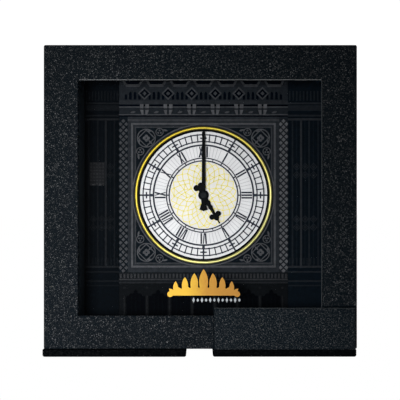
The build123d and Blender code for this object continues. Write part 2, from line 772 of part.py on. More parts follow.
# --- hands ------------------------------------------------------------------------------------
def minute_hand():
    """A long straight blade with a short counterpoise that narrows, then widens towards its end."""
    blade = outline((-1.15, 0), (1.15, 0), (0.85, MINUTE_REACH), (-0.85, MINUTE_REACH))
    tail = outline((-1.6, -1.0), (1.6, -1.0), (1.25, -5.0), (2.5, -8.7), (0, -9.6), (-2.5, -8.7),
                   (-1.25, -5.0))
    hand = blade + tail + Circle(MINUTE_HUB_R)
    solid = raised(at_dial(hand), MINUTE_HAND_BACK, MINUTE_HAND_FRONT)
    return solid - rod(DIAL_X, DIAL_Z, MINUTE_SEAT_R, MINUTE_HAND_FRONT - 1, MINUTE_HAND_BACK + 1)


def hour_hand():
    """The hour hand, drawn pointing at twelve: scalloped stem, spade head with two lobes, forked tail."""
    tip_r = 0.55
    tip_z = HOUR_REACH - tip_r
    hand = Circle(HUB_R) + outline((-1.5, 0), (1.5, 0), (0.8, 14.2), (-0.8, 14.2))
    for reach, radius in ((5.4, 1.6), (8.4, 1.45)):
        hand += Pos(0, reach) * Circle(radius)
    for side in (-1, 1):
        hand += Pos(side * 2.2, 14.0) * Circle(1.65)
        hand += Pos(side * 1.5, -5.8) * Circle(1.9)
    hand += outline((-2.4, 13.4), (2.4, 13.4), (1.5, 16.4), (0.45, 17.6), (-0.45, 17.6), (-1.5, 16.4))
    hand += bar(-0.4, 0.4, 17.0, tip_z) + Pos(0, tip_z) * Circle(tip_r)
    hand += bar(-1.2, 1.2, -6.2, 0)
    solid = raised(at_dial(turned(hand, HOUR_ANGLE)), HOUR_HAND_BACK, HOUR_HAND_FRONT)
    return solid - rod(DIAL_X, DIAL_Z, HOUR_SEAT_R, HOUR_HAND_FRONT - 1, HOUR_HAND_BACK + 1)


def hand_nut():
    """A domed nut with a blind hole that is pressed on to the end of the minute arbor."""
    nut = rod(DIAL_X, DIAL_Z, HAND_NUT_R, MINUTE_HAND_FRONT - HAND_NUT_T, MINUTE_HAND_FRONT)
    nut = fillet(nut.faces().sort_by(Axis.Y)[0].edges(), HAND_NUT_ROUND)
    hole_r = ARBOR_TIP_R + SEAT_SNUG
    return nut - rod(DIAL_X, DIAL_Z, hole_r, MINUTE_HAND_FRONT - ARBOR_TIP_L - 0.1, MINUTE_HAND_FRONT + 1)


# --- gears ------------------------------------------------------------------------------------
def epicycloid(pitch_r, roll_r, t):
    x = (pitch_r + roll_r) * math.cos(t) - roll_r * math.cos((pitch_r + roll_r) / roll_r * t)
    y = (pitch_r + roll_r) * math.sin(t) - roll_r * math.sin((pitch_r + roll_r) / roll_r * t)
    return math.hypot(x, y), math.atan2(y, x)


def gear(teeth, module, mate_teeth, first_tooth):
    """Clock teeth: radial flanks under tips that roll on the mating gear; angle of one tooth in degrees."""
    pitch_r = teeth * module / 2
    roll_r = mate_teeth * module / 4
    half_tooth = math.pi / teeth / 2 * TOOTH_THICKNESS
    root_r = pitch_r - DEDENDUM * module
    step = 0.002
    end = 0.0
    while True:
        radius, angle = epicycloid(pitch_r, roll_r, end + step)
        if radius > pitch_r + ADDENDUM * module or angle > half_tooth * 0.95:
            break
        end += step
    flank = [epicycloid(pitch_r, roll_r, end * index / 3) for index in range(4)]
    points = []
    for tooth in range(teeth):
        middle = math.radians(first_tooth) + 2 * math.pi * tooth / teeth
        side = [(root_r, -half_tooth)]
        side += [(radius, angle - half_tooth) for radius, angle in flank]
        tooth_line = side + [(radius, -angle) for radius, angle in reversed(side)]
        points += [(r * math.cos(middle + a), r * math.sin(middle + a)) for r, a in tooth_line]
    return outline(*points)


def minute_arbor():
    """The centre shaft: hand seat in front, pinion behind, pivot in the movement's cover."""
    shoulder = TUBE_END + 1.2
    pinion_l = 3.0
    rear_r = 1.5
    pivot_end = MOVEMENT_REAR + 0.8
    shaft = rod(DIAL_X, DIAL_Z, MINUTE_ARBOR_R, MINUTE_HAND_BACK, shoulder)
    shaft += rod(DIAL_X, DIAL_Z, MINUTE_SEAT_R - SEAT_SNUG, MINUTE_HAND_FRONT, MINUTE_HAND_BACK)
    shaft += rod(DIAL_X, DIAL_Z, ARBOR_TIP_R, MINUTE_HAND_FRONT - ARBOR_TIP_L, MINUTE_HAND_FRONT)
    shaft += rod(DIAL_X, DIAL_Z, rear_r, shoulder, PIVOT_START)
    shaft += rod(DIAL_X, DIAL_Z, PIVOT_R, PIVOT_START, pivot_end)
    pinion = gear(PINION_TEETH, CENTRE_MODULE, MINUTE_WHEEL_TEETH, 90)
    return shaft + raised(at_dial(pinion), CENTRE_PINION_BACK, CENTRE_PINION_BACK - pinion_l)


def hour_wheel():
    """The hour wheel and its long tube, which turns inside the bush and round the minute arbor."""
    wheel_t = 1.2
    wheel = gear(HOUR_WHEEL_TEETH, HOUR_MODULE, MINUTE_PINION_TEETH, 90)
    body = raised(at_dial(wheel), TUBE_END, TUBE_END - wheel_t)
    body += rod(DIAL_X, DIAL_Z, HOUR_TUBE_R, HOUR_HAND_BACK, TUBE_END - wheel_t / 2)
    body += rod(DIAL_X, DIAL_Z, HOUR_SEAT_R - SEAT_SNUG, HOUR_HAND_FRONT, HOUR_HAND_BACK)
    return body - rod(DIAL_X, DIAL_Z, MINUTE_ARBOR_R + RUN_GAP, HOUR_HAND_FRONT - 1, TUBE_END + 1)


def minute_wheel():
    """The reduction wheel and pinion on the arbor that the setting knob turns."""
    facing = -90
    pivot_front = 9.6
    pinion_front = 10.8
    pinion_back = 13.0
    wheel_front = 15.2
    wheel_back = 16.6
    arbor_z = DIAL_Z + ARBOR_DISTANCE
    place = Pos(DIAL_X, arbor_z)
    wheel = gear(MINUTE_WHEEL_TEETH, CENTRE_MODULE, PINION_TEETH, facing + 180 / MINUTE_WHEEL_TEETH)
    pinion = gear(MINUTE_PINION_TEETH, HOUR_MODULE, HOUR_WHEEL_TEETH, facing + 180 / MINUTE_PINION_TEETH)
    body = rod(DIAL_X, arbor_z, SETTING_ARBOR_R, pinion_front, KNOB_FRONT + KNOB_SEAT)
    body += rod(DIAL_X, arbor_z, PIVOT_R, pivot_front, pinion_front)
    body += raised(place * wheel, wheel_back, wheel_front)
    return body + raised(place * pinion, pinion_back, pinion_front)


def setting_knob():
    """A round fluted knob with a blind hole for its arbor."""
    arbor_z = DIAL_Z + ARBOR_DISTANCE
    flute_r = 0.35
    grip = Circle(KNOB_R)
    for index in range(KNOB_FLUTES):
        grip -= Rot(0, 0, 360 / KNOB_FLUTES * index) * Pos(KNOB_R + 0.1, 0) * Circle(flute_r)
    knob = raised(Pos(DIAL_X, arbor_z) * grip, KNOB_FRONT + KNOB_T, KNOB_FRONT)
    return knob - rod(DIAL_X, arbor_z, SETTING_ARBOR_R, KNOB_FRONT - 1, KNOB_FRONT + KNOB_SEAT)


# --- movement -----------------------------------------------------------------------------------
def movement_case():
    half = MOVEMENT / 2
    outer = Pos(DIAL_X, DIAL_Z) * RectangleRounded(MOVEMENT, MOVEMENT, CORNER_R)
    body = raised(outer, MOVEMENT_REAR, MOVEMENT_FRONT)
    floor = MOVEMENT_FRONT + CASE_FLOOR_T
    inside = half - MOVEMENT_WALL
    depth = (floor, MOVEMENT_REAR + 1)
    body -= block(DIAL_X - inside, DIAL_X + inside, *depth, BAY_TOP + BAY_WALL, DIAL_Z + inside)
    body -= block(DIAL_X - BAY_HALF_W, DIAL_X + BAY_HALF_W, *depth, BAY_BOTTOM, BAY_TOP)
    body += rod(DIAL_X, DIAL_Z, BUSH_R, BUSH_FRONT, MOVEMENT_FRONT)
    body -= rod(DIAL_X, DIAL_Z, HOUR_TUBE_R + RUN_GAP, BUSH_FRONT - 1, floor + 1)
    return body - rod(DIAL_X, DIAL_Z + ARBOR_DISTANCE, PIVOT_R + RUN_GAP, MOVEMENT_FRONT + 0.5, floor + 1)


def movement_cover():
    back = MOVEMENT_REAR + MOVEMENT_COVER_T
    outer = Pos(DIAL_X, DIAL_Z) * RectangleRounded(MOVEMENT, MOVEMENT, CORNER_R)
    body = raised(outer, back, MOVEMENT_REAR)
    body -= block(DIAL_X - BAY_HALF_W, DIAL_X + BAY_HALF_W, MOVEMENT_REAR - 1, back + 1, BAY_BOTTOM, BAY_TOP)
    body -= rod(DIAL_X, DIAL_Z + ARBOR_DISTANCE, SETTING_ARBOR_R + RUN_GAP, MOVEMENT_REAR - 1, back + 1)
    return body - rod(DIAL_X, DIAL_Z, PIVOT_R + RUN_GAP, MOVEMENT_REAR - 1, MOVEMENT_REAR + 0.9)


def mounting_nut():
    """A thin hexagon nut on the bush, in the pocket behind the dial."""
    hexagon = RegularPolygon(MOUNTING_NUT_R, 6) - Circle(BUSH_R)
    return raised(at_dial(hexagon), PANEL_FRONT, PANEL_FRONT - MOUNTING_NUT_T)


def rubber_washer():
    return tube(DIAL_X, DIAL_Z, WASHER_R, BUSH_R + 0.1, PANEL_BACK, MOVEMENT_FRONT)


def coil():
    """The motor coil: a bobbin with two flanges, standing upright beside the gears."""
    x = DIAL_X + 19.0
    y = 16.0
    low = DIAL_Z - 6.0
    length = 22.0
    winding_r = 4.2
    flange_r = 5.0
    flange_t = 1.0
    winding = Pos(x, y, low + length / 2) * Cylinder(winding_r, length)
    flanges = []
    for z in (low + flange_t / 2, low + length - flange_t / 2):
        flanges.append(Pos(x, y, z) * Cylinder(flange_r, flange_t))
    return winding + flanges


def rotor():
    """The motor's round magnet on its thin arbor."""
    x = DIAL_X - 16.0
    z = DIAL_Z + 16.0
    magnet_r = 3.0
    arbor_r = 0.8
    return rod(x, z, magnet_r, 11.0, 16.0) + rod(x, z, arbor_r, 10.2, 21.0)


def circuit_board():
    left = DIAL_X - 26.0
    low = DIAL_Z - 9.0
    front = 20.6
    return block(left, left + 15.5, front, front + 1.0, low, low + 17.0)


def battery():
    """A round cell lying across the bay, with its raised contact on the right."""
    nub_l = 1.5
    nub_r = 2.7
    edge_round = 0.5
    flat_end = DIAL_X + BATTERY_X
    sideways = Rot(0, 90, 0)
    body = Pos(flat_end + BATTERY_L / 2, BATTERY_Y, BATTERY_Z) * sideways * Cylinder(BATTERY_R, BATTERY_L)
    body = fillet(body.edges(), edge_round)
    nub = Pos(flat_end + BATTERY_L + nub_l / 2, BATTERY_Y, BATTERY_Z) * sideways * Cylinder(nub_r, nub_l)
    return body + nub


def positive_contact():
    """A flat plate that the cell's raised contact touches."""
    right = DIAL_X + BAY_HALF_W
    plate_t = 0.5
    half_h = 5.0
    return block(right - plate_t, right, CONTACT_FRONT, CONTACT_BACK, BATTERY_Z - half_h, BATTERY_Z + half_h)


def negative_contact():
    """A bowed leaf spring at the flat end of the battery."""
    left = DIAL_X - BAY_HALF_W
    leaf_t = 0.4
    bow = 1.5
    bow_front = 17.0
    bow_back = 18.2
    width = 7.0
    line = [(left, CONTACT_FRONT), (left + leaf_t, CONTACT_FRONT), (left + bow, bow_front),
            (left + bow, bow_back), (left + leaf_t, CONTACT_BACK), (left, CONTACT_BACK),
            (left + bow - leaf_t, bow_back), (left + bow - leaf_t, bow_front)]
    return extrude(Plane.XY.offset(BATTERY_Z - width / 2) * outline(*line), amount=width, dir=(0, 0, 1))


# --- back ------------------------------------------------------------------------------------------
def corner_places():
    """Centres of the four rear posts, in X and Z."""
    inset = BOARD + POST / 2
    xs = (-CASE_W / 2 + inset, CASE_W / 2 - inset)
    zs = (FOOT_H + inset, CASE_TOP - inset)
    return [(x, z) for x in xs for z in zs]


def rear_corner_blocks():
    posts = []
    for x, z in corner_places():
        post = block(x - POST / 2, x + POST / 2, PANEL_BACK, CASE_BACK - BACK_T, z - POST / 2, z + POST / 2)
        posts.append(post - rod(x, z, SCREW_SHANK_R, CASE_BACK - SCREW_L - SCREW_HEAD_T, CASE_BACK))
    return Compound(posts)


def back_cover():
    half = BACK_OPENING / 2
    board = inner_sheet(CASE_BACK - BACK_T, CASE_BACK)
    board -= block(DIAL_X - half, DIAL_X + half, CASE_BACK - 5, CASE_BACK + 5, DIAL_Z - half, DIAL_Z + half)
    for x, z in corner_places():
        board -= rod(x, z, SCREW_SHANK_R + 0.1, CASE_BACK - 5, CASE_BACK + 5)
        board -= rod(x, z, SCREW_HEAD_R + 0.1, CASE_BACK - SCREW_HEAD_T, CASE_BACK + 5)
    return board


def back_cover_screws():
    screws = []
    for x, z in corner_places():
        neck = CASE_BACK - SCREW_HEAD_T
        screw = rod(x, z, SCREW_HEAD_R, neck, CASE_BACK)
        screw += rod(x, z, SCREW_SHANK_R, neck - SCREW_L, neck)
        for half_x, half_z in ((SLOT_HALF_L, SLOT_HALF_W), (SLOT_HALF_W, SLOT_HALF_L)):
            slot_floor = CASE_BACK - SLOT_DEPTH
            screw -= block(x - half_x, x + half_x, slot_floor, CASE_BACK + 1, z - half_z, z + half_z)
        screws.append(screw)
    return Compound(screws)


# --- write every sub-part ------------------------------------------------------------------------
os.makedirs("parts", exist_ok=True)

save("left_foot_board", foot_board(FOOT_LEFT, NOTCH_LEFT, FOOT_FRONT))
save("right_foot_board", foot_board(NOTCH_RIGHT, FOOT_RIGHT, FOOT_FRONT + STRIP_T))
for node, shape in wall_boards().items():
    save(node, shape)
save("front_frame", front_frame())
save("window_pane", window_pane())
save("flap_board", flap_board())
save("flap_hinge", flap_hinge())
save("frame_magnet", magnet(CASE_FRONT))
save("flap_magnet", magnet(CASE_FRONT - FLAP_GAP - MAGNET_T))
for node, shape in battens().items():
    save(node, shape)
save("pane_ornament", pane_ornament())
save("pane_caption_bar", pane_caption_bar())

save("facade_backplate", facade_backplate())
save("parapet", parapet())
save("cornice", cornice())
save("left_pilaster", pilaster(-1))
save("right_pilaster", pilaster(1))
save("dial_surround", dial_surround())
for height_name, side_z in (("upper", 1), ("lower", -1)):
    for side_name, side_x in (("left", -1), ("right", 1)):
        save(height_name + "_" + side_name + "_spandrel", spandrel(side_x, side_z))
save("left_wing", wing(-1))
save("right_wing", wing(1))
save("sill_band", sill_band())
save("lower_arcade", lower_arcade())

save("dial_plate", dial_plate())
save("centre_panel", centre_panel())
save("bezel_ring", bezel_ring())
save("inner_ring", inner_ring())
save("dial_tracery", dial_tracery())
save("dial_numerals", dial_numerals())

save("minute_hand", minute_hand())
save("hour_hand", hour_hand())
save("hand_nut", hand_nut())
save("minute_arbor", minute_arbor())
save("hour_wheel", hour_wheel())
save("minute_wheel", minute_wheel())
save("setting_knob", setting_knob())

save("movement_case", movement_case())
save("movement_cover", movement_cover())
save("mounting_nut", mounting_nut())
save("rubber_washer", rubber_washer())
save("coil", coil())
save("rotor", rotor())
save("circuit_board", circuit_board())
save("battery", battery())
save("positive_contact", positive_contact())
save("negative_contact", negative_contact())

save("rear_corner_blocks", rear_corner_blocks())
save("back_cover", back_cover())
save("back_cover_screws", back_cover_screws())
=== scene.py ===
import json
import math
import random

import bmesh
import bpy
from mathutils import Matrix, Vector


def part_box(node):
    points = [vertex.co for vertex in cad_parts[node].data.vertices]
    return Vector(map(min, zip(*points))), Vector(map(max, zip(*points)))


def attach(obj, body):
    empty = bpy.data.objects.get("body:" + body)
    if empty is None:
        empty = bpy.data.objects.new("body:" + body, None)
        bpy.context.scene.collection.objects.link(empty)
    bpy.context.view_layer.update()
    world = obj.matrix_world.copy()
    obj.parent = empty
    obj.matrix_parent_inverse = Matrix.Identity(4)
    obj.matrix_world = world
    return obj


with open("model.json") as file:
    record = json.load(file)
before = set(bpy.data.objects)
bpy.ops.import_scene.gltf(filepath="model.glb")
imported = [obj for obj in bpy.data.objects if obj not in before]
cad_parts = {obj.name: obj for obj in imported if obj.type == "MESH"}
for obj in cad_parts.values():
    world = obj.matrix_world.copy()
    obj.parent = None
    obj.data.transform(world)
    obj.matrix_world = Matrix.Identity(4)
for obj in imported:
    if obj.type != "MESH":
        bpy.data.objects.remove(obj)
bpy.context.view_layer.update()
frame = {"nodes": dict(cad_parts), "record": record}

# The looks of a framed clock-tower mantel clock. Metres, +Z up, front face towards -Y.

MM = 0.001
random.seed(11)


# --- places read from the frame ----------------------------------------------------------------------
def middle(node):
    low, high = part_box(node)
    return (low + high) / 2


DIAL = middle("dial_plate")
DIAL_X = DIAL.x
DIAL_Z = DIAL.z
PLATE_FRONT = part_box("dial_plate")[0].y
PANEL_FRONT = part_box("facade_backplate")[0].y
CENTRE_LOW, CENTRE_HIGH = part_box("centre_panel")
CENTRE_FRONT = CENTRE_LOW.y
CENTRE_R = (CENTRE_HIGH.x - CENTRE_LOW.x) / 2
FRAME_LOW, FRAME_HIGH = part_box("front_frame")
FLAP_LOW, FLAP_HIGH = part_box("flap_board")
OPENING_LOW, OPENING_HIGH = frame["record"]["physics"]["openings"][0]["box_m"]
OPENING_LEFT, OPENING_BOTTOM = OPENING_LOW[0], OPENING_LOW[2]
OPENING_RIGHT, OPENING_TOP = OPENING_HIGH[0], OPENING_HIGH[2]

# --- sizes of the pieces made here -------------------------------------------------------------------
# the net over the dial's centre: each ring's radius and number of crossings, clear of the hour tube, and
# how far a crossing strays outwards and, as a share of a step, round the ring
NET_RINGS = ((4.3 * MM, 12), (5.6 * MM, 12), (8.0 * MM, 12), (10.6 * MM, 24), (13.0 * MM, 24),
             (15.5 * MM, 24), (17.8 * MM, 24), (CENTRE_R - 0.15 * MM, 24))
NET_LINE = 0.40 * MM
NET_RELIEF = 0.12 * MM
NET_WANDER = 0.75 * MM
NET_TURN = 0.16
SECOND_JOIN_CHANCE = 0.6
CROSSBAR_CHANCE = 0.12

# fine lines of the hour ring, in degrees after each hour
GLAZING_ANGLES = (8.4, 12.8, 17.2, 21.6)
GLAZING_INNER_R = 23.1 * MM
GLAZING_OUTER_R = 29.4 * MM
GLAZING_LINE = 0.28 * MM
GLAZING_RELIEF = 0.1 * MM

# the parapet's notches, measured from the dial's centre, and the coping round them, whose foot reaches past
# the slopes by a share of its width
NOTCHES = 7
NOTCH_PITCH = 14.3 * MM
GABLE_FOOT = 67.3 * MM
GABLE_FOOT_HALF = 3.6 * MM
GABLE_TOP_HALF = 6.6 * MM
WALL_FRONT = 4.6 * MM
COPING_FRONT = 4.1 * MM
COPING_WIDTH = 1.3 * MM
COPING_OVERLAP = 0.6

# the screen on the left wing
SCREEN_LEFT = DIAL_X - 69.0 * MM
SCREEN_RIGHT = DIAL_X - 59.9 * MM
SCREEN_BOTTOM = DIAL_Z + 5.9 * MM
SCREEN_TOP = DIAL_Z + 20.0 * MM
SCREEN_GROUND = 4.15 * MM
SCREEN_FRONT = 3.75 * MM
SCREEN_COLUMNS = 5
SCREEN_ROWS = 7
DIAMOND_HALF = 0.62 * MM
BLOCK_PLACES = (2.4 * MM, 6.6 * MM)
BLOCK_FRONT = 3.4 * MM
BLOCK_FOOT_HALF = 1.0 * MM
BLOCK_TOP_HALF = 0.8 * MM
BLOCK_RISE = 0.9 * MM

# mouldings on the back of the movement, round its setting knob and its battery bay
COLLAR_INNER_R = 5.8 * MM
COLLAR_OUTER_R = 7.0 * MM
COLLAR_RELIEF = 0.9 * MM
BAY_WALL = 1.45 * MM
BAY_CLEAR = 0.5 * MM
BAY_RIM = 0.9 * MM
BAY_RIM_RELIEF = 0.6 * MM
BOSS_ASIDE = 20.0 * MM
BOSS_ABOVE = 8.0 * MM
BOSS_INNER_R = 0.8 * MM
BOSS_OUTER_R = 1.9 * MM
BOSS_RELIEF = 0.5 * MM

# painted highlights on the wrap's turned edges, and painted shadows beside them
EDGE_LINE = 0.42 * MM
HEAD_SHADOW_HEIGHT = 0.42 * MM
DULL_LINE = 0.35 * MM
EDGE_RELIEF = 0.08 * MM
FLAP_SHADOW_BAND = 1.0 * MM


# --- material building -------------------------------------------------------------------------------
class Paint:
    """A node material under construction: one Principled shader and the nodes that feed it."""

    def __init__(self, name, **sockets):
        self.material = bpy.data.materials.new(name)
        self.material.use_nodes = True
        self.tree = self.material.node_tree
        self.shader = self.tree.nodes["Principled BSDF"]
        for socket, value in sockets.items():
            self.shader.inputs[socket.replace("_", " ")].default_value = value
        self.coordinates = self.add("ShaderNodeTexCoord").outputs["Object"]

    def add(self, kind, **settings):
        node = self.tree.nodes.new(kind)
        for key, value in settings.items():
            setattr(node, key, value)
        return node

    def join(self, output, target):
        self.tree.links.new(output, target)

    def noise(self, scale, detail=3.0, rough=0.55, vector=None):
        node = self.add("ShaderNodeTexNoise")
        node.inputs["Scale"].default_value = scale
        node.inputs["Detail"].default_value = detail
        node.inputs["Roughness"].default_value = rough
        self.join(vector or self.coordinates, node.inputs["Vector"])
        return node.outputs["Fac"]

    def stretched(self, x, y, z):
        """Object coordinates stretched by a factor along each axis."""
        node = self.add("ShaderNodeMapping")
        node.inputs["Scale"].default_value = (x, y, z)
        self.join(self.coordinates, node.inputs["Vector"])
        return node.outputs["Vector"]

    def wobbled(self, scale, amount):
        """Object coordinates pushed about by noise."""
        noise = self.add("ShaderNodeTexNoise")
        noise.inputs["Scale"].default_value = scale
        self.join(self.coordinates, noise.inputs["Vector"])
        push = self.add("ShaderNodeVectorMath", operation="MULTIPLY_ADD")
        push.inputs[1].default_value = (amount, amount, amount)
        self.join(noise.outputs["Color"], push.inputs[0])
        self.join(self.coordinates, push.inputs[2])
        return push.outputs["Vector"]

    def cells(self, scale, vector):
        """Distance from the nearest border between irregular cells."""
        node = self.add("ShaderNodeTexVoronoi", feature="DISTANCE_TO_EDGE")
        node.inputs["Scale"].default_value = scale
        self.join(vector, node.inputs["Vector"])
        return node.outputs["Distance"]

    def along(self, axis, start, end):
        """0 to 1 between two places along an axis."""
        split = self.add("ShaderNodeSeparateXYZ")
        self.join(self.coordinates, split.inputs["Vector"])
        span = self.add("ShaderNodeMapRange")
        span.inputs["From Min"].default_value = start
        span.inputs["From Max"].default_value = end
        self.join(split.outputs[axis], span.inputs["Value"])
        return span.outputs["Result"]

    def ramp(self, value, *stops):
        """A colour ramp from (position, colour) stops."""
        node = self.add("ShaderNodeValToRGB")
        elements = node.color_ramp.elements
        while len(elements) < len(stops):
            elements.new(0.5)
        for element, (position, colour) in zip(elements, stops):
            element.position = position
            element.color = (*colour, 1.0)
        self.join(value, node.inputs["Fac"])
        return node.outputs["Color"]

    def grey(self, value, *stops):
        """A ramp of plain values from (position, value) stops."""
        return self.ramp(value, *[(position, (level, level, level)) for position, level in stops])

    def multiply(self, first, second):
        """One colour multiplied by another: socket 0 of the node is the factor, 6 and 7 are the colours."""
        node = self.add("ShaderNodeMix", data_type="RGBA", blend_type="MULTIPLY")
        node.inputs[0].default_value = 1.0
        self.join(first, node.inputs[6])
        self.join(second, node.inputs[7])
        return node.outputs[2]

    def sum(self, first, second, weight):
        """first + second * weight."""
        node = self.add("ShaderNodeMath", operation="MULTIPLY_ADD")
        self.join(second, node.inputs[0])
        node.inputs[1].default_value = weight
        self.join(first, node.inputs[2])
        return node.outputs["Value"]

    def colour(self, output):
        self.join(output, self.shader.inputs["Base Color"])

    def roughness(self, output):
        self.join(output, self.shader.inputs["Roughness"])

    def bump(self, height, distance, strength=1.0):
        node = self.add("ShaderNodeBump")
        node.inputs["Distance"].default_value = distance
        node.inputs["Strength"].default_value = strength
        self.join(height, node.inputs["Height"])
        self.join(node.outputs["Normal"], self.shader.inputs["Normal"])


def leatherette(name, level, grain=1.0 * MM, relief=0.22 * MM, gloss=0.05, highlight_specks=1.0):
    """Black pebble-grain leatherette: uneven pebbles, smoother than the creases between them; the colour is
    partly the grain's own tone and partly painted light, with creases darkened as painted shade and pebble
    tops lightened as painted highlights.
    """
    paint = Paint(name, IOR=1.5, Specular_IOR_Level=gloss)
    place = paint.wobbled(520.0, 1.3 * MM)
    pebble = paint.cells(1 / grain, place)
    lumps = paint.noise(1.15 / grain, 2.0, 0.6)
    small = paint.noise(2300.0, 2.0)
    cloud = paint.noise(26.0, 3.0)
    dome = paint.grey(pebble, (0.0, 0.0), (0.16, 0.6), (0.45, 1.0))
    swell = paint.grey(lumps, (0.36, 0.0), (0.64, 1.0))
    height = paint.sum(paint.multiply(dome, swell), small, 0.15)
    # painted light: the pebble tops are lightened as painted highlights and the creases darkened as painted
    # shade
    tops_painted_highlight = tuple(tone * level * highlight_specks for tone in (0.0470, 0.0480, 0.0500))
    slopes = tuple(tone * level * (2.0 - highlight_specks) for tone in (0.0048, 0.0059, 0.0068))
    creases_painted_shade = tuple(tone * level for tone in (0.0007, 0.0018, 0.0029))
    grain_tone_and_painted_light = paint.ramp(height, (0.20, creases_painted_shade), (0.50, slopes), (0.95, tops_painted_highlight))
    shade = paint.grey(cloud, (0.3, 0.85), (0.7, 1.0))
    paint.colour(paint.multiply(grain_tone_and_painted_light, shade))
    paint.roughness(paint.grey(height, (0.15, 0.8), (0.7, 0.30)))
    paint.bump(height, relief)
    return paint.material


# the stone's tone on each plane of its relief, darker with depth as painted shade: the plane's Y in
# millimetres, deepest first, and the tone
STONE_PAINTED_DEPTH_SHADE = ((5.4, 0.0016), (5.0, 0.0062), (4.6, 0.0180), (4.2, 0.0330), (3.8, 0.0640), (3.3, 0.0950))
SURROUND_PAINTED_DEPTH_SHADE = ((5.4, 0.0016), (5.0, 0.0062), (4.6, 0.0170), (4.4, 0.0220), (4.2, 0.0360), (3.8, 0.0600),
                  (3.3, 0.0850))
PARAPET_PAINTED_DEPTH_SHADE = ((5.4, 0.0016), (5.0, 0.0062), (4.6, 0.0165), (4.2, 0.0440), (3.8, 0.0560), (3.3, 0.0700))
TINT = 0.0022
SPECKLE = 0.3


def stone(name, level, shaded_tones=STONE_PAINTED_DEPTH_SHADE):
    """Cast stone, darker in its recesses and paler towards the front of its relief: painted shade that
    deepens with depth.
    """
    paint = Paint(name, Roughness=0.85, Specular_IOR_Level=0.03)
    deepest = shaded_tones[0][0]
    front = shaded_tones[-1][0]
    # painted shade: the colour darkens with the depth of the relief
    place = paint.along("Y", deepest * MM, front * MM)
    stops = []
    for plane, tone in shaded_tones:
        grey = tone * level
        tint = TINT * min(1.0, 1.6 * level)
        colour = (max(0.0, grey - tint), grey, grey * 1.06 + tint)
        stops.append(((deepest - plane) / (deepest - front), colour))
    tone = paint.ramp(place, *stops)
    patches = paint.noise(420.0, 4.0, 0.65)
    fine = paint.noise(1600.0, 2.0)
    cloud = paint.grey(patches, (0.3, 1.0 - SPECKLE), (0.7, 1.0 + SPECKLE * 0.5))
    paint.colour(paint.multiply(tone, cloud))
    paint.bump(paint.sum(patches, fine, 0.5), 0.12 * MM, 0.6)
    return paint.material


def metal(name, colour, rough, brush=(1.0, 1.0, 1.0)):
    """Metal with fine brushing or casting marks."""
    paint = Paint(name, Metallic=1.0)
    marks = paint.noise(900.0, 3.0, 0.6, paint.stretched(*brush))
    shade = [tuple(channel * k for channel in colour) for k in (0.86, 1.0)]
    paint.colour(paint.ramp(marks, (0.3, shade[0]), (0.7, shade[1])))
    paint.roughness(paint.grey(marks, (0.3, rough * 0.85), (0.7, rough * 1.15)))
    paint.bump(marks, 0.02 * MM, 0.4)
    return paint.material


def moulded(name, colour, rough, scale=1400.0, relief=0.03 * MM, sheen=0.5):
    """Moulded plastic, enamel or card: a fine even texture with slight clouding."""
    paint = Paint(name, Specular_IOR_Level=sheen)
    fine = paint.noise(scale, 2.0)
    cloud = paint.noise(60.0, 3.0)
    shade = [tuple(channel * k for channel in colour) for k in (0.9, 1.0)]
    paint.colour(paint.ramp(cloud, (0.3, shade[0]), (0.7, shade[1])))
    paint.roughness(paint.grey(fine, (0.3, rough * 0.9), (0.7, min(1.0, rough * 1.1))))
    paint.bump(fine, relief, 0.5)
    return paint.material


def wood(name, dark, light, rough, stretch=(1.0, 1.0, 0.08), sheen=0.3):
    """Straight-grained wood, painted or plain."""
    paint = Paint(name, Specular_IOR_Level=sheen)
    grain = paint.noise(700.0, 4.0, 0.6, paint.stretched(*stretch))
    paint.colour(paint.ramp(grain, (0.3, dark), (0.7, light)))
    paint.roughness(paint.grey(grain, (0.3, rough * 0.9), (0.7, min(1.0, rough * 1.1))))
    paint.bump(grain, 0.08 * MM, 0.5)
    return paint.material


def clear_pane():
    """Thin clear acrylic with a trace of dust."""
    paint = Paint("pane_clear", Roughness=0.3, IOR=1.49, Specular_IOR_Level=0.05, Alpha=0.004)
    dust = paint.noise(90.0, 4.0)
    paint.colour(paint.grey(dust, (0.3, 0.001), (0.7, 0.004)))
    return paint.material


def gold():
    """Bright gilt with a painted reflection: deeper yellow at the upper left and paler towards the lower
    right.
    """
    reach = 41 * MM
    paint = Paint("gilt_bezel", Metallic=0.8, Roughness=0.5)
    # painted reflection: a colour slope across the ring from upper left to lower right
    across = paint.along("X", DIAL_X - reach, DIAL_X + reach)
    down = paint.along("Z", DIAL_Z + reach, DIAL_Z - reach)
    painted_reflection_slope = paint.sum(paint.sum(across, down, 1.0), paint.noise(600.0, 2.0), 0.1)
    half = paint.add("ShaderNodeMath", operation="MULTIPLY")
    half.inputs[1].default_value = 0.5
    paint.join(painted_reflection_slope, half.inputs[0])
    paint.colour(paint.ramp(half.outputs["Value"], (0.2, (0.33, 0.25, 0.018)), (0.5, (0.38, 0.32, 0.052)),
                            (0.8, (0.47, 0.45, 0.17))))
    return paint.material


def gilt_print():
    """Gold foil that runs from yellow on the left to copper on the right."""
    paint = Paint("gilt_foil", Metallic=0.1, Roughness=0.65, Specular_IOR_Level=0.2)
    low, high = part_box("pane_ornament")
    across = paint.along("X", low.x, high.x)
    grainy = paint.sum(across, paint.noise(700.0, 2.0), 0.12)
    paint.colour(paint.ramp(grainy, (0.05, (0.56, 0.32, 0.030)), (0.35, (0.51, 0.31, 0.026)),
                            (0.6, (0.34, 0.165, 0.018)), (1.0, (0.30, 0.140, 0.018))))
    return paint.material


